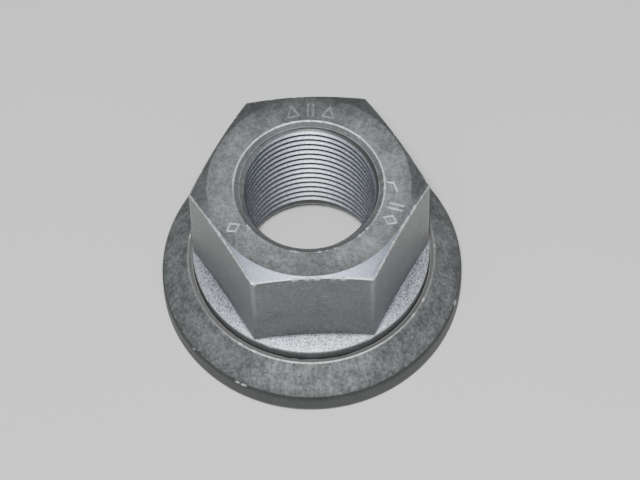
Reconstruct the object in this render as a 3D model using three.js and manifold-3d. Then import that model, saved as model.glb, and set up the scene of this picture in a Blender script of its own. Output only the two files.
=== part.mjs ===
// A two-piece wheel nut: a hex nut whose neck passes through a conical pressure washer. The neck's end is
// flared outward under the washer, so the washer stays on the nut and turns freely about it.
//
// Millimetres. +Z runs along the thread axis, out of the nut's top face. The origin is the centre of the
// washer's underside, the face that bears on the wheel.

import * as THREE from 'three';
import { mergeVertices } from 'three/addons/utils/BufferGeometryUtils.js';
import Module from 'manifold-3d';

// Fits
const RUNNING_GAP = 0.3; // between the nut and the washer, all round

// Thread, right-hand, 60 degree profile
const THREAD_MAJOR_RADIUS = 11;
const THREAD_PITCH = 1.5;
const THREAD_TURNS = 17; // counted from the run-in above the top face down into the relief
const THREAD_RUN_IN = 0.75; // height of the groove's upper end above the top face
const THREAD_ENTRY_ANGLE = THREE.MathUtils.degToRad(90); // where the groove's upper end lies
const BLUNT_START_ANGLE = THREE.MathUtils.degToRad(190); // where the first full crest begins
const BLUNT_START_TURNS = 1; // how much of the crest above it is cut back
const THREAD_SEGMENTS = 36; // straight steps to one turn

// Hexagon
const ACROSS_FLATS = 33;
const NUT_TOP_Z = 30.25;
const TOP_FACE_RADIUS = 16.2; // where the turned chamfer over the corners begins
const CHAMFER_SLOPE = THREE.MathUtils.degToRad(26.5);
const COUNTERSINK_RADIUS = 11.95;
const COUNTERSINK_SLOPE = THREE.MathUtils.degToRad(27);

// Round shoulder under the hexagon
const SHOULDER_RADIUS = 19.15;
const SHOULDER_RIM_Z = 10.3;
const SHOULDER_SLOPE = THREE.MathUtils.degToRad(23);
const SHOULDER_UNDERSIDE_Z = 7.2;
const SHOULDER_BEVEL = 0.3;

// Neck below the shoulder, with a plain relief inside and a flared lip at its end
const NECK_RADIUS = 13.5;
const RELIEF_RADIUS = 11.1;
const RELIEF_TOP_Z = 6.5;
const RELIEF_BOTTOM_Z = 4.9;
const MOUTH_SLOPE = THREE.MathUtils.degToRad(40); // of the flared mouth's wall, from the axis
const LIP_RADIUS = 15;
const LIP_THICKNESS = 1.7;

// Pressure washer
const WASHER_RADIUS = 24.4;
const WASHER_TOP_Z = 8.45;
const WASHER_CONE_SLOPE = THREE.MathUtils.degToRad(45);
const WASHER_LAND_WIDTH = 0.6;
const WASHER_LAND_DROP = 0.25;
const WASHER_COUNTERBORE_RADIUS = 15.6;
const WASHER_EDGE_BEVEL = 0.4;

const TURNED_SEGMENTS = 72; // flats that stand for one full turn of a lathe-cut surface
const CUT_OVERRUN = 1; // how far a cutting tool runs past the face that it opens

const NUT_FINISH = { name: 'phosphated_steel', color: 0x6f7072, roughness: 0.5, metalness: 0.85 };
const WASHER_FINISH = { name: 'oiled_dark_steel', color: 0x595a5b, roughness: 0.55, metalness: 0.8 };

const wasm = await Module();
wasm.setup();

function toSolid(geometry) {
  geometry.deleteAttribute('normal');
  geometry.deleteAttribute('uv');
  const merged = mergeVertices(geometry);
  const vertProperties = new Float32Array(merged.attributes.position.array);
  const triVerts = new Uint32Array(merged.index.array);
  return new wasm.Manifold(new wasm.Mesh({ numProp: 3, vertProperties, triVerts }));
}

function toGeometry(solid) {
  const mesh = solid.getMesh();
  const geometry = new THREE.BufferGeometry();
  geometry.setAttribute('position', new THREE.BufferAttribute(mesh.vertProperties, 3));
  geometry.setIndex(new THREE.BufferAttribute(mesh.triVerts, 1));
  geometry.computeVertexNormals();
  return geometry;
}

// Turns an outline of [radius, z] corners, listed upward on the outside, about the Z axis.
function turned(outline, segments = TURNED_SEGMENTS) {
  const points = outline.map(([radius, z]) => new THREE.Vector2(radius, z));
  return new THREE.LatheGeometry(points, segments).rotateX(Math.PI / 2);
}

// A line that follows the thread at the minor radius. It starts at the top and winds down clockwise,
// which is a right-hand thread, and its frames keep a cutting profile square to the axis.
class ThreadPath extends THREE.Curve {
  constructor(topZ, topAngle, turns) {
    super();
    this.radius = threadMinorRadius;
    this.topZ = topZ;
    this.topAngle = topAngle;
    this.turns = turns;
  }

  angleAt(t) {
    return this.topAngle - 2 * Math.PI * this.turns * t;
  }

  getPoint(t, target = new THREE.Vector3()) {
    const angle = this.angleAt(t);
    const z = this.topZ - THREAD_PITCH * this.turns * t;
    return target.set(this.radius * Math.cos(angle), this.radius * Math.sin(angle), z);
  }

  computeFrenetFrames(segments) {
    const frames = { tangents: [], normals: [], binormals: [] };
    for (let i = 0; i <= segments; i++) {
      const angle = this.angleAt(i / segments);
      frames.tangents.push(new THREE.Vector3(Math.sin(angle), -Math.cos(angle), 0));
      frames.normals.push(new THREE.Vector3(Math.cos(angle), Math.sin(angle), 0));
      frames.binormals.push(new THREE.Vector3(0, 0, 1));
    }
    return frames;
  }
}

const sharpHeight = THREAD_PITCH * Math.sqrt(3) / 2;
const threadDepth = sharpHeight * 5 / 8;
const threadMinorRadius = THREAD_MAJOR_RADIUS - threadDepth;
const grooveTopZ = NUT_TOP_Z + THREAD_RUN_IN;

function alongThread(profile, path) {
  const steps = Math.round(path.turns * THREAD_SEGMENTS);
  return new THREE.ExtrudeGeometry(new THREE.Shape(profile), { steps, extrudePath: path });
}

// What the tap removes outside the minor radius: a groove with a flat root, 60 degrees between its flanks.
function threadGroove() {
  const halfMouth = THREAD_PITCH * 3 / 8;
  const halfRoot = THREAD_PITCH / 16;
  const profile = [
    new THREE.Vector2(-threadDepth, -halfMouth),
    new THREE.Vector2(0, -halfMouth),
    new THREE.Vector2(threadDepth, -halfRoot),
    new THREE.Vector2(threadDepth, halfRoot),
    new THREE.Vector2(0, halfMouth),
    new THREE.Vector2(-threadDepth, halfMouth),
  ];
  return alongThread(profile, new ThreadPath(grooveTopZ, THREAD_ENTRY_ANGLE, THREAD_TURNS));
}

// Where the first crest would thin to a feather edge against the countersink, it's cut back almost to
// the root.
function bluntStart() {
  const depth = threadDepth * 0.98;
  const halfHeight = THREAD_PITCH * 7 / 16;
  const profile = [
    new THREE.Vector2(-threadDepth, -halfHeight),
    new THREE.Vector2(depth, -halfHeight),
    new THREE.Vector2(depth, halfHeight),
    new THREE.Vector2(-threadDepth, halfHeight),
  ];
  const turnsDown = (THREAD_ENTRY_ANGLE - BLUNT_START_ANGLE) / (2 * Math.PI) + 0.5;
  const topZ = grooveTopZ - THREAD_PITCH * turnsDown;
  return alongThread(profile, new ThreadPath(topZ, BLUNT_START_ANGLE, BLUNT_START_TURNS));
}

// Everything inside the nut but the thread itself: countersink, drilled bore, relief and flared mouth.
function boreTool() {
  const countersinkDepth = (COUNTERSINK_RADIUS - threadMinorRadius) * Math.tan(COUNTERSINK_SLOPE);
  const mouthRadius = RELIEF_RADIUS + (RELIEF_BOTTOM_Z + CUT_OVERRUN) * Math.tan(MOUTH_SLOPE);
  return turned([
    [0, -CUT_OVERRUN],
    [mouthRadius, -CUT_OVERRUN],
    [RELIEF_RADIUS, RELIEF_BOTTOM_Z],
    [RELIEF_RADIUS, RELIEF_TOP_Z],
    [threadMinorRadius, RELIEF_TOP_Z + RELIEF_RADIUS - threadMinorRadius],
    [threadMinorRadius, NUT_TOP_Z - countersinkDepth],
    [COUNTERSINK_RADIUS, NUT_TOP_Z],
    [COUNTERSINK_RADIUS, NUT_TOP_Z + CUT_OVERRUN],
    [0, NUT_TOP_Z + CUT_OVERRUN],
  ], THREAD_SEGMENTS);
}

// Shoulder, neck and flared lip, up to a plain core inside the hexagon.
function nutBase() {
  const coreRadius = ACROSS_FLATS / 2 - 1;
  const coreZ = SHOULDER_RIM_Z + (SHOULDER_RADIUS - coreRadius) * Math.tan(SHOULDER_SLOPE);
  const lipOuterZ = lipOutside() - LIP_RADIUS;
  const lipEnd = LIP_THICKNESS / Math.SQRT2;
  return turned([
    [0, lipOuterZ - lipEnd],
    [LIP_RADIUS - lipEnd, lipOuterZ - lipEnd],
    [LIP_RADIUS, lipOuterZ],
    [NECK_RADIUS, lipOutside() - NECK_RADIUS],
    [NECK_RADIUS, SHOULDER_UNDERSIDE_Z],
    [SHOULDER_RADIUS - SHOULDER_BEVEL, SHOULDER_UNDERSIDE_Z],
    [SHOULDER_RADIUS, SHOULDER_UNDERSIDE_Z + SHOULDER_BEVEL],
    [SHOULDER_RADIUS, SHOULDER_RIM_Z],
    [coreRadius, coreZ],
    [0, coreZ],
  ]);
}

// The flare runs at 45 degrees, so radius + z stays the same all along its outer face.
function lipOutside() {
  return RELIEF_RADIUS + RELIEF_BOTTOM_Z + LIP_THICKNESS * Math.SQRT2;
}

// Hexagonal prism with corners on +X and -X, and the turned chamfer over its corners.
function hexagon() {
  const cornerRadius = ACROSS_FLATS / Math.sqrt(3);
  const corners = [];
  for (let i = 0; i < 6; i++) {
    const angle = i * Math.PI / 3;
    corners.push(new THREE.Vector2(cornerRadius * Math.cos(angle), cornerRadius * Math.sin(angle)));
  }
  const bottomZ = SHOULDER_RIM_Z;
  const depth = NUT_TOP_Z - bottomZ;
  const prism = new THREE.ExtrudeGeometry(new THREE.Shape(corners), { depth, bevelEnabled: false });
  prism.translate(0, 0, bottomZ);
  const envelopeRadius = cornerRadius + CUT_OVERRUN;
  const envelope = turned([
    [0, bottomZ - CUT_OVERRUN],
    [envelopeRadius, bottomZ - CUT_OVERRUN],
    [envelopeRadius, NUT_TOP_Z - (envelopeRadius - TOP_FACE_RADIUS) * Math.tan(CHAMFER_SLOPE)],
    [TOP_FACE_RADIUS, NUT_TOP_Z],
    [0, NUT_TOP_Z],
  ]);
  return toSolid(prism).intersect(toSolid(envelope));
}

function hexNut() {
  let nut = hexagon().add(toSolid(nutBase()));
  for (const tool of [boreTool(), threadGroove(), bluntStart()]) {
    nut = nut.subtract(toSolid(tool));
  }
  return toGeometry(nut);
}

// A ring with a flat seat for the shoulder in a shallow recess, a bore that clears the neck, and a
// 45 degree countersink below that clears the flared lip.
function pressureWasher() {
  const recessRadius = SHOULDER_RADIUS + RUNNING_GAP;
  const landRadius = recessRadius + WASHER_LAND_WIDTH;
  const rimTopZ = WASHER_TOP_Z - (WASHER_RADIUS - landRadius) * Math.tan(WASHER_CONE_SLOPE);
  const boreRadius = NECK_RADIUS + RUNNING_GAP;
  const flareOutside = lipOutside() + RUNNING_GAP * Math.SQRT2;
  const seatZ = SHOULDER_UNDERSIDE_Z - RUNNING_GAP;
  const outline = [
    [WASHER_COUNTERBORE_RADIUS + WASHER_EDGE_BEVEL, 0],
    [WASHER_RADIUS - WASHER_EDGE_BEVEL, 0],
    [WASHER_RADIUS, WASHER_EDGE_BEVEL],
    [WASHER_RADIUS, rimTopZ],
    [landRadius, WASHER_TOP_Z],
    [recessRadius, WASHER_TOP_Z - WASHER_LAND_DROP],
    [recessRadius, seatZ],
    [boreRadius, seatZ],
    [boreRadius, flareOutside - boreRadius],
    [WASHER_COUNTERBORE_RADIUS, flareOutside - WASHER_COUNTERBORE_RADIUS],
    [WASHER_COUNTERBORE_RADIUS, WASHER_EDGE_BEVEL],
  ];
  return turned([...outline, outline[0]]);
}

function piece(name, geometry, finish) {
  const mesh = new THREE.Mesh(geometry, new THREE.MeshStandardMaterial(finish));
  mesh.name = name;
  return mesh;
}

const wheelNut = new THREE.Group();
wheelNut.add(piece('pressure_washer', pressureWasher(), WASHER_FINISH));
wheelNut.add(piece('hex_nut', hexNut(), NUT_FINISH));

export default wheelNut;
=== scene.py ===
"""A two-piece wheel nut: a hex nut on whose flared neck a conical pressure washer turns freely.

Shapes are worked out in millimetres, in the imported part's frame: +Z is the thread axis and the washer
stands on z = 0. Both pieces are skins of rings round that axis, so every point has an angle, a radius and
a height, and every ring knows how worn its edge is and which finish follows it.
"""

import math
from collections import namedtuple

import bmesh
import bpy
import numpy as np
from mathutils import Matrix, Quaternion, Vector


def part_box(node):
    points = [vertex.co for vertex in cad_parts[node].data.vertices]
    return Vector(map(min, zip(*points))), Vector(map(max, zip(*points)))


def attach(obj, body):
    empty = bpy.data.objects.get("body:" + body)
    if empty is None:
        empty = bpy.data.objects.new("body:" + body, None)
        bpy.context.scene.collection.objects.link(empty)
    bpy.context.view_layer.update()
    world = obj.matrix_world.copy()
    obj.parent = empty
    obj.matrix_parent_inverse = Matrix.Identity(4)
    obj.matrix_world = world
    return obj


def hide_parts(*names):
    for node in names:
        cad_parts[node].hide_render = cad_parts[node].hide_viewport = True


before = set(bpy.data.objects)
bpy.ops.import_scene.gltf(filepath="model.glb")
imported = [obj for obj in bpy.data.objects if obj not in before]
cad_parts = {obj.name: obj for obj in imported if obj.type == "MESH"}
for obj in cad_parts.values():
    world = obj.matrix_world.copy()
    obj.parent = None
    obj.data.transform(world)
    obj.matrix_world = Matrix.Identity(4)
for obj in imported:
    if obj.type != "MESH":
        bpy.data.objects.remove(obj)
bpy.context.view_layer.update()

MM = 0.001

# Sizes that the frame gives
nut_low, nut_high = (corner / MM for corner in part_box("hex_nut"))
washer_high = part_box("pressure_washer")[1] / MM
NUT_TOP = nut_high.z
SHOULDER_RADIUS = nut_high.x
LIP_BOTTOM = nut_low.z
WASHER_RADIUS = washer_high.x
WASHER_TOP = washer_high.z

# Sizes of the nut inside that box
RUNNING_GAP = 0.3
RECESS_GAP = 0.08  # round the shoulder, where the washer fits most closely
ACROSS_FLATS = 33.0
HEX_CORNER_ROUND = 0.35
HEX_CORNER_RADIUS = (ACROSS_FLATS / 2 - HEX_CORNER_ROUND) / math.cos(math.pi / 6) + HEX_CORNER_ROUND
TOP_FACE_RADIUS = 16.2
CHAMFER_SLOPE = math.tan(math.radians(26.5))
COUNTERSINK_RADIUS = 11.95
COUNTERSINK_SLOPE = math.tan(math.radians(27))
SHOULDER_RIM_Z = 10.3
SHOULDER_SLOPE = math.tan(math.radians(23))
SHOULDER_UNDERSIDE_Z = 7.2
SHOULDER_BEVEL = 0.3
NECK_RADIUS = 13.5
RELIEF_RADIUS = 11.1
RELIEF_TOP_Z = 6.5
RELIEF_BOTTOM_Z = 4.9
RELIEF_EDGE_STEP = 0.02  # between the rows beside the relief's upper edge
LIP_RADIUS = 15.0
LIP_THICKNESS = 1.7
LIP_LAND = 0.45
HEX_EDGE_WEAR = 0.15  # how far bare steel reaches down from the hexagon's upper edges
CORNER_WEAR = 0.1  # how bare its upright corners are at the top
CORNER_WEAR_DEPTH = 0.2  # how far in from a corner's outermost line that reaches
COUNTERSINK_EDGE_WEAR = 0.08  # how far it reaches down from the countersink's upper edge
COUNTERSINK_PLAIN = 0.2  # how far down the countersink its closely spaced rows begin

# Thread, right-hand, 60 degree profile
THREAD_MAJOR = 11.0
THREAD_PITCH = 1.5
THREAD_DEPTH = THREAD_PITCH * math.sqrt(3) / 2 * 5 / 8
THREAD_MINOR = THREAD_MAJOR - THREAD_DEPTH
THREAD_CREST = THREAD_PITCH / 8  # half the flat on a crest
THREAD_ROOT_ROUND = 0.16  # half the height that a rounded root takes up
THREAD_PHASE = 28.75  # height of one crest in the direction of +Y, a quarter turn from +X

# The thread's blunt start: above the first full crest, crests are cut back to the root
FIRST_CREST_DEGREES = 190  # where it begins
BLUNT_FADE = 0.04  # half the height over which the crest comes to full size
BLUNT_SHARE = 0.98  # of the thread's depth

# Sizes of the washer
WASHER_CONE_SLOPE = 1.0
WASHER_LAND_WIDTH = 0.6
WASHER_LAND_DROP = 0.25
WASHER_COUNTERBORE_RADIUS = 15.6
WASHER_BEVEL = 0.4
WASHER_RECESS_RADIUS = SHOULDER_RADIUS + RECESS_GAP
WASHER_LAND_RADIUS = SHOULDER_RADIUS + RUNNING_GAP + WASHER_LAND_WIDTH
WASHER_RIM_Z = WASHER_TOP - (WASHER_RADIUS - WASHER_LAND_RADIUS) * WASHER_CONE_SLOPE

# The flare runs at 45 degrees, so radius + z is the same all along its outer face
LIP_OUTSIDE = RELIEF_RADIUS + RELIEF_BOTTOM_Z + LIP_THICKNESS * math.sqrt(2)

# Finishes, in the order of each piece's material slots
NUT_FINISHES = ["shoulder", "flats", "chamfer", "top_face", "countersink", "thread", "neck"]
WASHER_FINISHES = ["cone", "land", "rim", "underside"]

# Stamped marks, as strokes in millimetres round and outward from the mark's own centre, with how worn
# their edges are
Mark = namedtuple("Mark", "angle radius wear strokes")
MARK_DEPTH = 0.12
MARK_FLOOR = 0.06
MARK_HALF_WIDTH = 0.18
MARK_WEAR_HALF_WIDTH = 0.24
TRIANGLE = [((-0.9, -0.9), (0.9, -0.9)), ((0.9, -0.9), (0, 1)), ((0, 1), (-0.9, -0.9))]
TWO_BARS = [((-0.4, -1.1), (-0.4, 1.1)), ((0.45, -1.1), (0.45, 1.1))]
DIAMOND = [((0, -1.1), (0.8, 0)), ((0.8, 0), (0, 1.1)), ((0, 1.1), (-0.8, 0)), ((-0.8, 0), (0, -1.1))]
TICK = [((0.8, -0.9), (0.7, 0)), ((0.7, 0), (-0.8, 0.6))]
MARKS = [
    Mark(75, 13.8, 0.2, TRIANGLE),
    Mark(87, 13.8, 0.2, TWO_BARS),
    Mark(99, 13.8, 0.2, TRIANGLE),
    Mark(210, 14, 0.5, DIAMOND),
    Mark(-3, 13.3, 0.9, TICK),
    Mark(-18, 14.2, 0.5, TWO_BARS),
    Mark(-28, 14.2, 0.5, DIAMOND),
]

# A dent in an edge: outward is 1 where it pushes away from the axis and -1 where it pushes towards it
Nick = namedtuple("Nick", "angle radius z size outward")
NICK_STEEPNESS = 0.28
NICK_STRETCH = 2  # how much longer it is along the edge
NICK_BARENESS = 1.6

FULL_TURN = 2 * math.pi
EVEN_DEGREES = np.arange(0, 360, 0.75)  # where a skin's columns of points stand
MERGE_DISTANCE = 0.0005  # points nearer to each other than this are one point
LEVEL_TOLERANCE = 0.01  # points this near to the top face's height belong to it
CORNER_STEPS = 4  # pieces of a rounded corner
CORNER_SHARE = 0.45  # most that a corner's rounding takes of the shorter run beside it

# A corner of an outline: where it is, how far its rounding reaches, how worn it is, and the finish and
# number of pieces of the straight run that follows it
Corner = namedtuple("Corner", "radius z reach wear finish splits")

# A ring of points: where they are, how worn they are, and the finish of the faces up to the next ring
Ring = namedtuple("Ring", "radius z wear finish")


def smooth_step(value, low, high):
    """0 up to low, 1 from high on, and a smooth rise between."""
    share = np.clip((value - low) / (high - low), 0, 1)
    return share * share * (3 - 2 * share)


# ---- Rings --------------------------------------------------------------------------------------


def rounded_outline(corners, columns):
    """Rings along an outline, its inner corners rounded. The first and last corner are only ends."""
    points = []
    for corner in corners:
        radius = np.broadcast_to(corner.radius, columns)
        z = np.broadcast_to(corner.z, columns)
        points.append(np.stack([radius, z], axis=1).astype(float))
    rings = []
    leave = points[0]
    rings.append(Ring(leave[:, 0], leave[:, 1], corners[0].wear, corners[0].finish))
    for index in range(1, len(corners)):
        corner = corners[index]
        previous = corners[index - 1]
        here = points[index]
        if index == len(corners) - 1 or corner.reach == 0:
            arc = [here]
        else:
            arc = corner_arc(points[index - 1], here, points[index + 1], corner.reach)
        for step in range(1, previous.splits):
            between = leave + (arc[0] - leave) * step / previous.splits
            rings.append(Ring(between[:, 0], between[:, 1], 0.0, previous.finish))
        for step, point in enumerate(arc):
            finish = previous.finish if step < len(arc) / 2 else corner.finish
            rings.append(Ring(point[:, 0], point[:, 1], corner.wear, finish))
        leave = arc[-1]
    return rings


def corner_arc(before, corner, after, reach):
    """Points of a corner rounded by a quadratic curve that starts and ends reach away from it."""
    back = before - corner
    onward = after - corner
    back_length = np.linalg.norm(back, axis=1, keepdims=True)
    onward_length = np.linalg.norm(onward, axis=1, keepdims=True)
    reach = np.minimum(reach, CORNER_SHARE * np.minimum(back_length, onward_length))
    start = corner + back / back_length * reach
    end = corner + onward / onward_length * reach
    arc = []
    for t in np.linspace(0, 1, CORNER_STEPS + 1):
        arc.append((1 - t) ** 2 * start + 2 * t * (1 - t) * corner + t * t * end)
    return arc


class Skin:
    """Vertices, faces and their values, gathered ring by ring."""

    def __init__(self, angles, finishes):
        self.angles = angles
        self.columns = len(angles)
        self.finishes = finishes
        self.radius = []
        self.z = []
        self.wear = []
        self.faces = []
        self.face_finish = []

    def add_ring(self, ring):
        self.radius.append(np.broadcast_to(ring.radius, self.columns))
        self.z.append(np.broadcast_to(ring.z, self.columns))
        self.wear.append(np.broadcast_to(ring.wear, self.columns))
        return len(self.radius) - 1

    def join(self, upper, lower, next_upper, next_lower, finish):
        """Quads between two rings. The last two rings are the ones that the seam's far side meets."""
        here = np.arange(self.columns)
        after = (here + 1) % self.columns
        far_upper = np.where(after == 0, next_upper, upper) * self.columns + after
        far_lower = np.where(after == 0, next_lower, lower) * self.columns + after
        near_upper = upper * self.columns + here
        near_lower = lower * self.columns + here
        self.faces.append(np.stack([near_upper, far_upper, far_lower, near_lower], axis=1))
        self.face_finish.append(np.full(self.columns, self.finishes.index(finish)))

    def add_rings(self, rings):
        """Adds rings joined one to the next, and returns the numbers of the first and the last."""
        numbers = [self.add_ring(ring) for ring in rings]
        for first, second, ring in zip(numbers, numbers[1:], rings):
            self.join(first, second, first, second, ring.finish)
        return numbers[0], numbers[-1]

    def points(self):
        radius = np.concatenate(self.radius)
        angle = np.tile(self.angles, len(self.radius))
        return np.stack([radius * np.cos(angle), radius * np.sin(angle), np.concatenate(self.z)], axis=1)


def build_piece(name, skin, points, wear):
    """The mesh object of a skin, its doubled points merged, with its wear as a vertex attribute."""
    mesh = bpy.data.meshes.new(name)
    mesh.from_pydata(points * MM, [], np.concatenate(skin.faces))
    mesh.polygons.foreach_set("material_index", np.concatenate(skin.face_finish))
    layer = mesh.attributes.new("wear", "FLOAT", "POINT")
    layer.data.foreach_set("value", wear.astype(np.float32))
    work = bmesh.new()
    work.from_mesh(mesh)
    bmesh.ops.remove_doubles(work, verts=work.verts, dist=MERGE_DISTANCE * MM)
    work.to_mesh(mesh)
    work.free()
    mesh.validate()
    mesh.shade_smooth()
    piece = bpy.data.objects.new(name, mesh)
    bpy.context.scene.collection.objects.link(piece)
    normals = piece.modifiers.new("flat_faces", "WEIGHTED_NORMAL")
    normals.keep_sharp = True
    return piece


# ---- Hex nut ------------------------------------------------------------------------------------


def stamp_marks(points, wear):
    """Presses the marks into the top face, with rubbed steel along their edges."""
    radius = np.hypot(points[:, 0], points[:, 1])
    on_face = (radius > COUNTERSINK_RADIUS) & (radius < TOP_FACE_RADIUS)
    chosen = np.flatnonzero(on_face & (points[:, 2] > NUT_TOP - LEVEL_TOLERANCE))
    angle = np.arctan2(points[chosen, 1], points[chosen, 0])
    for mark in MARKS:
        turn = angle - math.radians(mark.angle)
        across = radius[chosen] * np.sin(turn)
        outward = radius[chosen] * np.cos(turn) - mark.radius
        away = [distance_to_stroke(across, outward, start, end) for start, end in mark.strokes]
        nearest = np.min(away, axis=0)
        points[chosen, 2] -= MARK_DEPTH * (1 - smooth_step(nearest, MARK_FLOOR, MARK_HALF_WIDTH))
        rubbed = mark.wear * (1 - smooth_step(nearest, MARK_FLOOR, MARK_WEAR_HALF_WIDTH))
        wear[chosen] = np.maximum(wear[chosen], rubbed)


def distance_to_stroke(across, outward, start, end):
    run = (end[0] - start[0], end[1] - start[1])
    share = (across - start[0]) * run[0] + (outward - start[1]) * run[1]
    share = np.clip(share / (run[0] ** 2 + run[1] ** 2), 0, 1)
    return np.hypot(across - start[0] - share * run[0], outward - start[1] - share * run[1])


def knock_edges(points, wear, nicks):
    """Pushes small dents into the edges, and leaves bright steel in them."""
    for nick in nicks:
        cosine, sine = math.cos(math.radians(nick.angle)), math.sin(math.radians(nick.angle))
        centre = np.array([nick.radius * cosine, nick.radius * sine, nick.z])
        push = np.array([nick.outward * cosine, nick.outward * sine, -1]) / math.sqrt(2)
        offset = points - centre
        along = offset @ np.array([-sine, cosine, 0])
        squared = (offset**2).sum(axis=1) - (1 - 1 / NICK_STRETCH**2) * along**2
        share = 1 - squared / nick.size**2
        inside = np.flatnonzero(share > 0)
        dent = share[inside] ** 2
        points[inside] += nick.size * NICK_STEEPNESS * dent[:, None] * push
        wear[inside] = np.maximum(wear[inside], np.minimum(1, NICK_BARENESS * dent))


def scatter(seed, count, first, last, place, smallest, largest, outward):
    """Nicks at random angles between two, each at the radius and height that place gives for it."""
    chance = np.random.default_rng(seed)
    nicks = []
    for _ in range(count):
        degrees = chance.uniform(first, last)
        radius, z = place(degrees)
        nicks.append(Nick(degrees, radius, z, chance.uniform(smallest, largest), outward))
    return nicks


def on_hex_edge(degrees):
    side = float(hexagon_radius(math.radians(degrees)))
    return side, hex_edge_z(side)


def nut_nicks():
    """Dents along the hexagon's upper edges, most at the front, and round the two turned edges."""
    return [
        *scatter(7, 36, 0, 360, on_hex_edge, 0.1, 0.24, -1),
        *scatter(8, 32, 195, 238, on_hex_edge, 0.18, 0.45, -1),
        *scatter(14, 44, 300, 345, on_hex_edge, 0.16, 0.42, -1),
        *scatter(15, 14, 240, 300, on_hex_edge, 0.12, 0.3, -1),
        *scatter(9, 30, 0, 360, lambda degrees: (COUNTERSINK_RADIUS, NUT_TOP), 0.12, 0.26, 1),
        *scatter(10, 14, 0, 360, lambda degrees: (SHOULDER_RADIUS, SHOULDER_RIM_Z), 0.15, 0.35, -1),
    ]


def washer_nicks():
    """Dents round the cone's two edges, and close together at the front of the recess, where their bare
    steel partly stands in for painted glints.
    """
    recess = (WASHER_RECESS_RADIUS, WASHER_TOP - WASHER_LAND_DROP)
    return [
        *scatter(11, 9, 0, 360, lambda degrees: (WASHER_RADIUS, WASHER_RIM_Z), 0.2, 0.45, -1),
        *scatter(12, 14, 0, 360, lambda degrees: (WASHER_LAND_RADIUS, WASHER_TOP), 0.15, 0.3, -1),
        # Partly painted highlight: these bright dents at the front stand in for glints of light in the gap.
        *scatter(13, 16, 255, 288, lambda degrees: recess, 0.2, 0.32, 1),
    ]


def rub_corners(points, wear):
    """Thins the coating along the hexagon's six upright corners, most at the top."""
    radius = np.hypot(points[:, 0], points[:, 1])
    above_shoulder = points[:, 2] > SHOULDER_RIM_Z + 1
    on_corner = (radius > HEX_CORNER_RADIUS - CORNER_WEAR_DEPTH) & above_shoulder
    share = CORNER_WEAR * smooth_step(points[:, 2], SHOULDER_RIM_Z, NUT_TOP)
    wear[on_corner] = np.maximum(wear[on_corner], share[on_corner])


def rubbed_side(angles, toward, full, none, least):
    """Wear round a ring: 1 up to full degrees from one angle, and falling to least by none degrees."""
    away = np.degrees(np.arccos(np.cos(angles - math.radians(toward))))
    return 1 - (1 - least) * smooth_step(away, full, none)


def nut_angles():
    """Column angles: even, with more beside the six corners and across the stamped marks."""
    after_corner = np.array([0.15, 0.3, 0.45, 0.6, 0.9, 1.2])
    across_mark = np.arange(-6, 6.1, 0.25)
    degrees = [EVEN_DEGREES]
    for corner in range(0, 360, 60):
        degrees.append(corner + after_corner)
        degrees.append(corner - after_corner)
    for mark in MARKS:
        degrees.append(mark.angle + across_mark)
    return np.radians(np.unique(np.round(np.concatenate(degrees) % 360, 3)))


def hexagon_radius(angles):
    """Distance from the axis to the hexagon's side, its upright edges rounded."""
    from_corner = (angles + math.pi / 6) % (math.pi / 3) - math.pi / 6
    from_flat = math.pi / 6 - np.abs(from_corner)
    flat = ACROSS_FLATS / 2 / np.cos(from_flat)
    centre = HEX_CORNER_RADIUS - HEX_CORNER_ROUND
    across = centre * np.sin(from_corner)
    reach = HEX_CORNER_ROUND * math.sin(math.pi / 6)
    rounded = centre * np.cos(from_corner) + np.sqrt(np.maximum(HEX_CORNER_ROUND**2 - across**2, 0))
    return np.where(np.abs(across) < reach, rounded, flat)


def crest_height(angles):
    """Height of one crest, which climbs a pitch to a turn and is at THREAD_PHASE a quarter turn from +X."""
    return THREAD_PHASE + THREAD_PITCH * (angles / FULL_TURN - 0.25)


def thread_radius(z, angles):
    """Distance from the axis to the thread's wall at a height."""
    half_pitch = THREAD_PITCH / 2
    above_crest = (z - crest_height(angles) + half_pitch) % THREAD_PITCH - half_pitch
    from_crest = np.abs(above_crest)
    flank = THREAD_MINOR + (from_crest - THREAD_CREST) * math.sqrt(3)
    into_root = np.maximum(from_crest - (half_pitch - THREAD_ROOT_ROUND), 0)
    flank = flank - into_root**2 * math.sqrt(3) / (2 * THREAD_ROOT_ROUND)
    first_crest = crest_height(math.radians(FIRST_CREST_DEGREES))
    cut_back = smooth_step(z - above_crest, first_crest - BLUNT_FADE, first_crest + BLUNT_FADE)
    crest_radius = THREAD_MINOR + cut_back * BLUNT_SHARE * THREAD_DEPTH
    return np.clip(flank, crest_radius, THREAD_MAJOR)


def countersink_radius(z):
    return COUNTERSINK_RADIUS - (NUT_TOP - z) / COUNTERSINK_SLOPE


def lower_chamfer_radius(z):
    """The 45 degree run from the thread out to the relief below it."""
    return RELIEF_RADIUS - (z - RELIEF_TOP_Z)


def hex_edge_z(side):
    """Height of the edge between a flat and the chamfer, which dips at the hexagon's corners."""
    return NUT_TOP - (side - TOP_FACE_RADIUS) * CHAMFER_SLOPE


THREAD_TOP = NUT_TOP - (COUNTERSINK_RADIUS - THREAD_MINOR) * COUNTERSINK_SLOPE
THREAD_BOTTOM = RELIEF_TOP_Z + RELIEF_RADIUS - THREAD_MINOR


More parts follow.
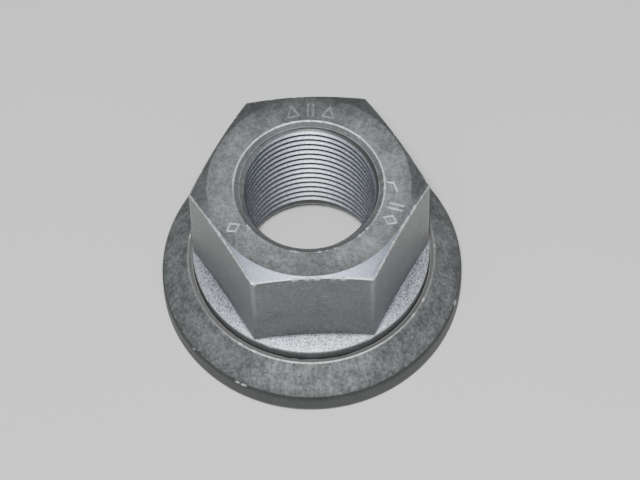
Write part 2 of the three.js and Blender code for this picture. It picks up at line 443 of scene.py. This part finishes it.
def nut_outline(angles):
    """From the relief below the thread, down, outward, up the outside and in across the top face."""
    side = hexagon_radius(angles)
    worn_to_z = NUT_TOP - COUNTERSINK_EDGE_WEAR
    lip_tip_z = LIP_OUTSIDE - LIP_RADIUS
    lip_end = LIP_THICKNESS / math.sqrt(2)
    return [
        Corner(RELIEF_RADIUS - RELIEF_EDGE_STEP, RELIEF_TOP_Z + RELIEF_EDGE_STEP, 0, 0, "neck", 1),
        Corner(RELIEF_RADIUS, RELIEF_TOP_Z, RELIEF_EDGE_STEP, 0, "neck", 6),
        Corner(RELIEF_RADIUS, RELIEF_BOTTOM_Z, 0.25, 0.3, "neck", 4),
        Corner(LIP_RADIUS - lip_end - LIP_LAND, LIP_BOTTOM, 0.15, 0.3, "neck", 1),
        Corner(LIP_RADIUS - lip_end, LIP_BOTTOM, 0.2, 0.5, "neck", 2),
        Corner(LIP_RADIUS, lip_tip_z, 0.35, 0.5, "neck", 3),
        Corner(NECK_RADIUS, LIP_OUTSIDE - NECK_RADIUS, 0.4, 0, "neck", 3),
        Corner(NECK_RADIUS, SHOULDER_UNDERSIDE_Z, 0.15, 0, "neck", 4),
        Corner(SHOULDER_RADIUS - SHOULDER_BEVEL, SHOULDER_UNDERSIDE_Z, 0.1, 0.2, "neck", 1),
        Corner(SHOULDER_RADIUS, SHOULDER_UNDERSIDE_Z + SHOULDER_BEVEL, 0.1, 0.1, "neck", 6),
        Corner(SHOULDER_RADIUS, SHOULDER_RIM_Z, 0.12, 0.35, "shoulder", 14),
        Corner(side, SHOULDER_RIM_Z + (SHOULDER_RADIUS - side) * SHOULDER_SLOPE, 0.45, 0, "flats", 26),
        Corner(side, hex_edge_z(side) - HEX_EDGE_WEAR, 0, 0, "flats", 1),
        Corner(side, hex_edge_z(side), 0.13, rubbed_side(angles, 262, 40, 120, 0.3), "chamfer", 8),
        Corner(TOP_FACE_RADIUS, NUT_TOP, 0.14, 0, "top_face", 56),
        Corner(COUNTERSINK_RADIUS, NUT_TOP, 0.08, rubbed_side(angles, 75, 80, 120, 0.08), "countersink", 1),
        Corner(countersink_radius(worn_to_z), worn_to_z, 0, 0, "countersink", 1),
    ]


def bore_rings(first_z, last_z, steps, cut_radius, angles, finish):
    """Rings where the thread runs out into a cone."""
    rings = []
    for z in np.linspace(first_z, last_z, steps + 1):
        radius = np.maximum(thread_radius(z, angles), cut_radius(z))
        rings.append(Ring(radius, z, 0.0, finish))
    return rings


def thread_strip(skin, top_ring, bottom_ring):
    """The thread's wall: a strip that climbs one pitch to a turn, cut off level at both its ends."""
    # Heights below a crest that get a row: over its flat, down the flank and into the rounded root
    root = THREAD_PITCH / 2
    crest_to_root = [0.12, THREAD_CREST, 0.23, 0.41, root - THREAD_ROOT_ROUND, root - 0.07, root]
    root_to_crest = [THREAD_PITCH - step for step in crest_to_root]
    steps = sorted({round(step, 4) for step in [*crest_to_root, *root_to_crest]})
    turns = math.ceil((THREAD_TOP - THREAD_BOTTOM) / THREAD_PITCH) + 2
    highest_crest = crest_height(skin.angles) + THREAD_PITCH
    rows = []
    for turn in range(turns):
        for step in steps:
            z = np.clip(highest_crest - THREAD_PITCH * turn - step, THREAD_BOTTOM, THREAD_TOP)
            rows.append(skin.add_ring(Ring(thread_radius(z, skin.angles), z, 0.0, "thread")))
    rows = [top_ring, *rows, bottom_ring]
    for index in range(len(rows) - 1):
        met_upper = rows[max(index - len(steps), 0)]
        met_lower = rows[max(index + 1 - len(steps), 0)]
        skin.join(rows[index], rows[index + 1], met_upper, met_lower, "thread")


def make_nut():
    angles = nut_angles()
    skin = Skin(angles, NUT_FINISHES)
    relief_z = RELIEF_TOP_Z + 2 * RELIEF_EDGE_STEP
    plain_z = NUT_TOP - COUNTERSINK_PLAIN
    run_out = bore_rings(THREAD_BOTTOM, relief_z, 12, lower_chamfer_radius, angles, "thread")
    outside = rounded_outline(nut_outline(angles), len(angles))
    countersink = bore_rings(plain_z, THREAD_TOP, 24, countersink_radius, angles, "countersink")
    bottom_ring, top_ring = skin.add_rings([*run_out, *outside, *countersink])
    thread_strip(skin, top_ring, bottom_ring)
    points = skin.points()
    wear = np.concatenate(skin.wear)
    rub_corners(points, wear)
    stamp_marks(points, wear)
    knock_edges(points, wear, nut_nicks())
    return build_piece("hex_nut_body", skin, points, wear)


# ---- Pressure washer ----------------------------------------------------------------------------


def washer_outline(angles):
    """From the underside, out, up the rim and the cone, in over the land and down to the counterbore."""
    recess = WASHER_RECESS_RADIUS
    bore = NECK_RADIUS + RUNNING_GAP
    seat_z = SHOULDER_UNDERSIDE_Z - RUNNING_GAP
    flare = LIP_OUTSIDE + RUNNING_GAP * math.sqrt(2)
    counterbore = WASHER_COUNTERBORE_RADIUS
    middle = (counterbore + WASHER_RADIUS) / 2
    return [
        Corner(middle, 0, 0, 0, "underside", 4),
        Corner(WASHER_RADIUS - WASHER_BEVEL, 0, 0.15, 0.25, "rim", 1),
        Corner(WASHER_RADIUS, WASHER_BEVEL, 0.2, 0.12, "rim", 6),
        Corner(WASHER_RADIUS, WASHER_RIM_Z, 0.7, 0, "cone", 36),
        Corner(WASHER_LAND_RADIUS, WASHER_TOP, 0.1, rubbed_side(angles, 272, 20, 60, 0.2), "land", 8),
        Corner(recess, WASHER_TOP - WASHER_LAND_DROP, 0.12, 0.35, "land", 3),
        Corner(recess, seat_z, 0.15, 0, "underside", 5),
        Corner(bore, seat_z, 0.15, 0, "underside", 2),
        Corner(bore, flare - bore, 0.2, 0, "underside", 3),
        Corner(counterbore, flare - counterbore, 0.2, 0, "underside", 4),
        Corner(counterbore, WASHER_BEVEL, 0.15, 0, "underside", 1),
        Corner(counterbore + WASHER_BEVEL, 0, 0.15, 0.4, "underside", 4),
        Corner(middle, 0, 0, 0, "underside", 1),
    ]


def make_washer():
    angles = np.radians(EVEN_DEGREES)
    skin = Skin(angles, WASHER_FINISHES)
    skin.add_rings(rounded_outline(washer_outline(angles), len(angles)))
    points = skin.points()
    wear = np.concatenate(skin.wear)
    knock_edges(points, wear, washer_nicks())
    return build_piece("pressure_washer_body", skin, points, wear)


# ---- Materials ----------------------------------------------------------------------------------


def tinted(value, blue=0.0):
    """A grey that leans to blue."""
    return (value, value * (1 + blue / 3), value * (1 + blue), 1)


BARE_STEEL = tinted(0.85, 0.06)
BARE_ROUGHNESS = 0.45
BARE_METALLIC = 0.5
BLACK = (0, 0, 0, 1)
COATING_AND_REFLECTED_CAST = (1, 1.07, 1.08, 1)  # the coating's grey with a painted cool cast that stands in for reflected green surroundings, at full brightness


class Paint:
    """One material's nodes. Places are the piece's own, in millimetres."""

    def __init__(self, name):
        self.material = bpy.data.materials.new(name)
        self.material.use_nodes = True
        self.tree = self.material.node_tree
        self.shader = self.tree.nodes["Principled BSDF"]
        own = self.add("ShaderNodeTexCoord").outputs["Object"]
        scaled = self.add("ShaderNodeVectorMath", operation="SCALE")
        scaled.inputs["Scale"].default_value = 1 / MM
        self.tree.links.new(own, scaled.inputs[0])
        self.place = scaled.outputs["Vector"]
        self.wear = self.add("ShaderNodeAttribute", attribute_name="wear").outputs["Fac"]
        split = self.add("ShaderNodeSeparateXYZ")
        self.plug(split.inputs[0], self.place)
        x, y, self.height = split.outputs
        self.angle = self.math("ARCTAN2", y, x)
        squares = [self.math("MULTIPLY", side, side) for side in (x, y)]
        self.radius = self.math("SQRT", self.math("ADD", *squares))

    def add(self, kind, **settings):
        node = self.tree.nodes.new(kind)
        for key, value in settings.items():
            setattr(node, key, value)
        return node

    def plug(self, socket, value):
        """A link where value is an output, and the socket's own number or colour where it isn't."""
        if isinstance(value, bpy.types.NodeSocket):
            self.tree.links.new(value, socket)
        else:
            socket.default_value = value

    def math(self, operation, *values):
        node = self.add("ShaderNodeMath", operation=operation)
        for socket, value in zip(node.inputs, values):
            self.plug(socket, value)
        return node.outputs[0]

    def noise(self, scale, detail=3.0, roughness=0.5, place=None):
        node = self.add("ShaderNodeTexNoise")
        self.plug(node.inputs["Vector"], place or self.place)
        node.inputs["Scale"].default_value = scale
        node.inputs["Detail"].default_value = detail
        node.inputs["Roughness"].default_value = roughness
        return node.outputs[0]

    def ramp(self, value, low, high, bottom=0.0, top=1.0):
        node = self.add("ShaderNodeMapRange")
        for name, setting in zip(("From Min", "From Max", "To Min", "To Max"), (low, high, bottom, top)):
            node.inputs[name].default_value = setting
        self.plug(node.inputs["Value"], value)
        return node.outputs[0]

    def mix(self, share, first, second, kind="RGBA"):
        """First where share is 0 and second where it's 1, for colours, or for numbers with kind FLOAT."""
        node = self.add("ShaderNodeMix", data_type=kind)
        socket_type = "RGBA" if kind == "RGBA" else "VALUE"
        ends = [socket for socket in node.inputs if socket.type == socket_type][-2:]
        self.plug(node.inputs[0], share)
        self.plug(ends[0], first)
        self.plug(ends[1], second)
        return next(socket for socket in node.outputs if socket.type == socket_type)

    def round_place(self, along, across, up=0.0):
        """Angle, radius and height, stretched, so that a pattern runs round the axis or across it."""
        joined = self.add("ShaderNodeCombineXYZ")
        self.plug(joined.inputs[0], self.math("MULTIPLY", self.angle, along))
        self.plug(joined.inputs[1], self.math("MULTIPLY", self.radius, across))
        self.plug(joined.inputs[2], self.math("MULTIPLY", self.height, up))
        return joined.outputs[0]

    def tool_marks(self, along, across, up=0.0, roughness=0.6):
        """Fine lines that run round the axis, as turning leaves them."""
        return self.noise(1.0, 4, roughness, self.round_place(along, across, up))

    def between(self, pattern, low, high):
        """A number that follows a noise pattern from low to high."""
        return self.ramp(pattern, 0.3, 0.7, low, high)

    def times(self, first, *others):
        product = first
        for other in others:
            product = self.math("MULTIPLY", product, other)
        return product

    def bump(self, height, depth_mm, normal=None):
        node = self.add("ShaderNodeBump")
        node.inputs["Strength"].default_value = 1.0
        node.inputs["Distance"].default_value = depth_mm * MM
        self.plug(node.inputs["Height"], height)
        if normal is not None:
            self.plug(node.inputs["Normal"], normal)
        return node.outputs[0]

    def finish(self, colour, rough, metal, normal, wear=1.0):
        """Joins everything to the shader, with bright bare steel where the edges are worn."""
        patchy = self.ramp(self.noise(2.2, 4, 0.6), 0.36, 0.52, 0.45, 1.0)
        bare = self.times(self.wear, patchy, wear)
        self.plug(self.shader.inputs["Base Color"], self.mix(bare, colour, BARE_STEEL))
        self.plug(self.shader.inputs["Roughness"], self.mix(bare, rough, BARE_ROUGHNESS, "FLOAT"))
        self.plug(self.shader.inputs["Metallic"], self.mix(bare, metal, BARE_METALLIC, "FLOAT"))
        self.plug(self.shader.inputs["Normal"], normal)
        return self.material


def coated(paint, shade):
    """The coating's colour where it's as bright as shade, with the painted cool cast of reflected
    surroundings.
    """
    return paint.mix(shade, BLACK, COATING_AND_REFLECTED_CAST)


def toward_front(paint):
    """1 on the side that faces -Y, 0 on the left and right, and -1 at the back."""
    return paint.times(paint.math("SINE", paint.angle), -1)


def phosphate(paint, dark, light):
    """Mottled grey: wide clouds, finer blotches and pale crystals. Returns its shade and the crystals."""
    clouds = paint.noise(0.22, 5, 0.6)
    mottle = paint.noise(1.6, 5, 0.7)
    grain = paint.noise(5.0, 4, 0.7)
    share = paint.math("ADD", paint.times(clouds, 0.4), paint.times(mottle, 0.6))
    shade = paint.ramp(share, 0.4, 0.6, dark, light)
    crystals = paint.ramp(grain, 0.52, 0.7, 0.9, 1.7)
    return paint.times(shade, crystals), grain


def top_face_material():
    """Rubbed paler on the left and the right, a little at the front, and darker towards its rim."""
    paint = Paint("top_face_phosphate")
    turned = paint.tool_marks(0.8, 7.0, roughness=0.65)
    shade, grain = phosphate(paint, 0.078, 0.16)
    sideways = paint.math("ABSOLUTE", paint.math("COSINE", paint.angle))
    blurred = paint.math("ADD", sideways, paint.times(paint.noise(0.3, 5, 0.65), 1.2))
    rubbed = paint.ramp(blurred, 0.85, 1.5, 1.0, 1.8)
    front = paint.ramp(toward_front(paint), 0.55, 0.95, 1.0, 1.4)
    blurred_radius = paint.math("ADD", paint.radius, turned)
    edge = paint.ramp(blurred_radius, TOP_FACE_RADIUS - 1.6, TOP_FACE_RADIUS + 0.5, 1.0, 0.7)
    shade = paint.times(shade, rubbed, front, edge)
    rough = paint.between(turned, 0.68, 0.78)
    normal = paint.bump(turned, 0.02, paint.bump(grain, 0.03))
    return paint.finish(coated(paint, shade), rough, 0.25, normal)


def countersink_material():
    """Dark, with a painted highlight along its lower edge."""
    paint = Paint("countersink_phosphate")
    turned = paint.tool_marks(0.8, 7.0, roughness=0.65)
    shade, grain = phosphate(paint, 0.09, 0.145)
    # Painted highlight: a pale line along the lower edge, where the cone meets the wall below it.
    off_wall = paint.ramp(paint.radius, THREAD_MAJOR, THREAD_MAJOR + 0.03)
    edge_highlight = paint.ramp(paint.radius, THREAD_MAJOR + 0.08, THREAD_MAJOR + 0.18, 1.0, 0.0)
    rubbed = paint.ramp(paint.times(off_wall, edge_highlight), 0, 1, 1.0, 1.7)
    shade = paint.times(shade, rubbed)
    rough = paint.between(turned, 0.7, 0.8)
    normal = paint.bump(turned, 0.015, paint.bump(grain, 0.02))
    return paint.finish(coated(paint, shade), rough, 0.2, normal)


def flats_material():
    """Satin, with short level scratches, a few of them pale."""
    paint = Paint("flats_satin")
    streaks = paint.noise(1.0, 5, 0.6, paint.round_place(60.0, 0.0, 0.7))
    scratches = paint.noise(1.0, 2, 0.5, paint.round_place(14.0, 0.0, 3.5))
    shade, grain = phosphate(paint, 0.105, 0.14)
    scratched = paint.ramp(scratches, 0.66, 0.72, 0, 0.5)
    colour = paint.mix(scratched, coated(paint, shade), tinted(0.5))
    rough = paint.between(streaks, 0.34, 0.46)
    return paint.finish(colour, rough, 0.6, paint.bump(streaks, 0.006, paint.bump(grain, 0.01)))


def chamfer_material():
    """Bright and bluish at the front, a painted highlight where the flash reflects, and coated at the sides
    and the back.
    """
    paint = Paint("chamfer_bright")
    turned = paint.tool_marks(1.5, 7.0)
    grain = paint.noise(5.0, 4, 0.65)
    front = paint.ramp(toward_front(paint), 0.1, 0.75)
    shade, mottle = phosphate(paint, 0.075, 0.13)
    # Painted highlight: pale bluish steel on the front only, where the flash's reflection falls, its blue
    # cast included.
    bright = paint.mix(paint.ramp(grain, 0.38, 0.64), tinted(0.28, 0.36), tinted(0.46, 0.36))
    colour = paint.mix(front, coated(paint, shade), bright)
    rough = paint.mix(front, 0.72, paint.between(turned, 0.52, 0.58), "FLOAT")
    metal = paint.mix(front, 0.3, 0.97, "FLOAT")
    return paint.finish(colour, rough, metal, paint.bump(turned, 0.015, paint.bump(mottle, 0.02)))


def shoulder_material():
    """Shot blasted: bright, with dark pits; darker all over beside the flats than by the rim as painted
    shade in the corner, and bluish as painted reflection.
    """
    paint = Paint("shoulder_shot_blasted")
    grit = paint.noise(3.2, 4, 0.8)
    pits = paint.noise(1.3, 3, 0.6)
    # Painted shade: darker beside the flats, where shade falls in the corner; the pits are the blast's own.
    blurred_radius = paint.math("ADD", paint.radius, paint.times(pits, 1.2))
    outer = paint.ramp(blurred_radius, SHOULDER_RADIUS - 1.15, SHOULDER_RADIUS + 0.05)
    # The pale ends lean to blue as a painted reflection of the surroundings and the flash's cast.
    pitted_and_shaded = paint.mix(paint.ramp(grit, 0.4, 0.62), tinted(0.1, 0.1), tinted(0.6, 0.22))
    smooth = paint.mix(paint.ramp(grit, 0.36, 0.64), tinted(0.14, 0.1), tinted(0.84, 0.22))
    colour = paint.mix(outer, pitted_and_shaded, smooth)
    rough = paint.ramp(grit, 0.35, 0.65, 0.64, 0.5)
    return paint.finish(colour, rough, 0.7, paint.bump(grit, 0.04, paint.bump(pits, 0.05)), 0.6)


def thread_material():
    """Flanks rubbed bright on their inner half, less so low down, with coating on the crests and roots.

    The wall above the first crest, where the thread is cut back, has paler coating than the roots below,
    partly painted light that lifts the shade on that wall.
    """
    paint = Paint("thread_steel")
    chatter = paint.noise(1.0, 4, 0.6, paint.round_place(30.0, 4.0, 4.0))
    specks = paint.noise(3.2, 4, 0.75)
    reach = paint.math("ADD", paint.radius, paint.times(specks, 0.2))
    flank = paint.ramp(reach, THREAD_MINOR + 0.38, THREAD_MINOR + 0.62, 1.0, 0.0)
    crest = paint.ramp(paint.radius, THREAD_MINOR + 0.02, THREAD_MINOR + 0.14, 0.2, 1.0)
    deep = paint.ramp(paint.height, THREAD_BOTTOM, THREAD_BOTTOM + 8, 0.7, 1.0)
    rubbed = paint.times(flank, crest, deep)
    # The bright steel's bluish lean is painted highlight colour, the flash's cast.
    bright = paint.mix(paint.ramp(specks, 0.4, 0.64), tinted(0.2, 0.25), tinted(0.46, 0.25))
    # Partly painted light: the cut-back wall above the first root is painted paler, lifting the shade that
    # falls on it.
    climb = paint.times(paint.angle, THREAD_PITCH / FULL_TURN)
    without_climb = paint.math("SUBTRACT", paint.height, climb)
    first_root = crest_height(0) + THREAD_PITCH / 2
    blunt = paint.ramp(without_climb, first_root - 0.225, first_root + 0.075)
    colour = paint.mix(rubbed, paint.mix(blunt, tinted(0.05), tinted(0.15)), bright)
    rough = paint.between(chatter, 0.4, 0.5)
    metal = paint.mix(rubbed, 0.3, 0.88, "FLOAT")
    return paint.finish(colour, rough, metal, paint.bump(chatter, 0.008, paint.bump(specks, 0.01)))


def neck_material():
    paint = Paint("neck_phosphate")
    turned = paint.tool_marks(0.8, 5.0, 5.0)
    shade, grain = phosphate(paint, 0.06, 0.1)
    rough = paint.between(turned, 0.42, 0.55)
    normal = paint.bump(turned, 0.012, paint.bump(grain, 0.012))
    return paint.finish(coated(paint, shade), rough, 0.5, normal, 0.8)


def cone_material():
    """Stained, with painted shade darkening it towards the rim, and streaks rubbed down the slope at the
    front.
    """
    paint = Paint("washer_cone_stained")
    rubs = paint.noise(1.0, 5, 0.75, paint.round_place(26.0, 0.3))
    front = paint.ramp(toward_front(paint), 0.8, 0.98)
    streaked = paint.ramp(paint.times(front, paint.ramp(rubs, 0.46, 0.6)), 0, 1, 0.95, 1.4)
    # Painted shade: darker towards the rim, where the rounded outer edge turns from the light.
    rim_shade = paint.ramp(paint.radius, WASHER_RADIUS - 1.2, WASHER_RADIUS - 0.3, 1.0, 0.78)
    stains = paint.ramp(paint.noise(0.4, 5, 0.65), 0.4, 0.6, 0.85, 1.2)
    shade, grain = phosphate(paint, 0.1, 0.2)
    shade = paint.times(shade, streaked, rim_shade, stains)
    rough = paint.ramp(rubs, 0.4, 0.6, 0.64, 0.54)
    normal = paint.bump(rubs, 0.015, paint.bump(grain, 0.03))
    return paint.finish(coated(paint, shade), rough, 0.4, normal, 0.7)


def land_material():
    paint = Paint("washer_land_rubbed")
    turned = paint.tool_marks(1.2, 8.0, 4.0)
    colour = paint.mix(paint.ramp(turned, 0.35, 0.65), tinted(0.17), tinted(0.25))
    rough = paint.between(turned, 0.5, 0.6)
    return paint.finish(colour, rough, 0.5, paint.bump(turned, 0.01))


def rim_material():
    paint = Paint("washer_rim_turned")
    turned = paint.tool_marks(1.5, 0.0, 7.0)
    shade, grain = phosphate(paint, 0.03, 0.045)
    rough = paint.between(turned, 0.5, 0.6)
    normal = paint.bump(turned, 0.012, paint.bump(grain, 0.012))
    return paint.finish(coated(paint, shade), rough, 0.2, normal)


def underside_material():
    paint = Paint("washer_underside_turned")
    turned = paint.tool_marks(0.6, 7.0, 7.0)
    shade, grain = phosphate(paint, 0.11, 0.17)
    rough = paint.between(turned, 0.45, 0.58)
    normal = paint.bump(turned, 0.02, paint.bump(grain, 0.01))
    return paint.finish(coated(paint, shade), rough, 0.6, normal)


def floor_material():
    paint = Paint("pale_floor")
    colour = paint.mix(paint.noise(0.02, 3, 0.5), tinted(0.76), tinted(0.8))
    return paint.finish(colour, 0.8, 0.0, paint.bump(paint.noise(3.0, 3, 0.5), 0.01), 0.0)


MATERIAL_MAKERS = {
    "shoulder": shoulder_material,
    "flats": flats_material,
    "chamfer": chamfer_material,
    "top_face": top_face_material,
    "countersink": countersink_material,
    "thread": thread_material,
    "neck": neck_material,
    "cone": cone_material,
    "land": land_material,
    "rim": rim_material,
    "underside": underside_material,
}


# ---- Floor, lights, camera ----------------------------------------------------------------------


FLOOR_HALF = 1.5  # half the floor's width, in metres


def make_floor():
    half = FLOOR_HALF
    mesh = bpy.data.meshes.new("studio_floor")
    corners = [(-half, -half, 0), (half, -half, 0), (half, half, 0), (-half, half, 0)]
    mesh.from_pydata(corners, [], [(0, 1, 2, 3)])
    floor = bpy.data.objects.new("studio_floor", mesh)
    floor.data.materials.append(floor_material())
    bpy.context.scene.collection.objects.link(floor)


def direction(azimuth, elevation):
    """Unit vector from the object towards a viewer; azimuth 0 is the front, -Y."""
    azimuth, elevation = math.radians(azimuth), math.radians(elevation)
    level = math.cos(elevation)
    return Vector((math.sin(azimuth) * level, -math.cos(azimuth) * level, math.sin(elevation)))


def make_light(name, azimuth, elevation, distance, size, power):
    light = bpy.data.objects.new(name, bpy.data.lights.new(name, "AREA"))
    light.data.shape = "DISK"
    light.data.size = size
    light.data.energy = power
    toward = direction(azimuth, elevation)
    light.location = toward * distance
    light.rotation_mode = "QUATERNION"
    light.rotation_quaternion = toward.to_track_quat("Z", "Y")
    bpy.context.scene.collection.objects.link(light)


def make_world():
    world = bpy.data.worlds.new("soft_room")
    world.use_nodes = True
    background = world.node_tree.nodes["Background"]
    background.inputs["Color"].default_value = (0.97, 0.98, 1.0, 1)
    background.inputs["Strength"].default_value = 0.16
    bpy.context.scene.world = world


CAMERA_AIM = Vector((1.47, 0, 12.64)) * MM
CAMERA_AZIMUTH = -0.34
CAMERA_ELEVATION = 60.96
CAMERA_DISTANCE = 646.4 * MM
CAMERA_ROLL = 1.83
CAMERA_LENS = 225.7


def make_camera():
    camera = bpy.data.objects.new("camera", bpy.data.cameras.new("camera"))
    camera.data.sensor_width = 36
    camera.data.lens = CAMERA_LENS
    camera.data.clip_start = 0.01
    back = direction(CAMERA_AZIMUTH, CAMERA_ELEVATION)
    camera.location = CAMERA_AIM + back * CAMERA_DISTANCE
    camera.rotation_mode = "QUATERNION"
    roll = Quaternion((0, 0, 1), -math.radians(CAMERA_ROLL))
    camera.rotation_quaternion = back.to_track_quat("Z", "Y") @ roll
    bpy.context.scene.collection.objects.link(camera)
    bpy.context.scene.camera = camera


# ---- Scene --------------------------------------------------------------------------------------

make_camera()
make_floor()
make_world()
make_light("flash", azimuth=-2, elevation=65, distance=0.62, size=0.07, power=4.4)
make_light("overhead_softbox", azimuth=-20, elevation=75, distance=1.0, size=0.9, power=1.5)

nut = make_nut()
for finish in NUT_FINISHES:
    nut.data.materials.append(MATERIAL_MAKERS[finish]())
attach(nut, "nut")
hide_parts("hex_nut")

washer = make_washer()
for finish in WASHER_FINISHES:
    washer.data.materials.append(MATERIAL_MAKERS[finish]())
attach(washer, "washer")
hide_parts("pressure_washer")
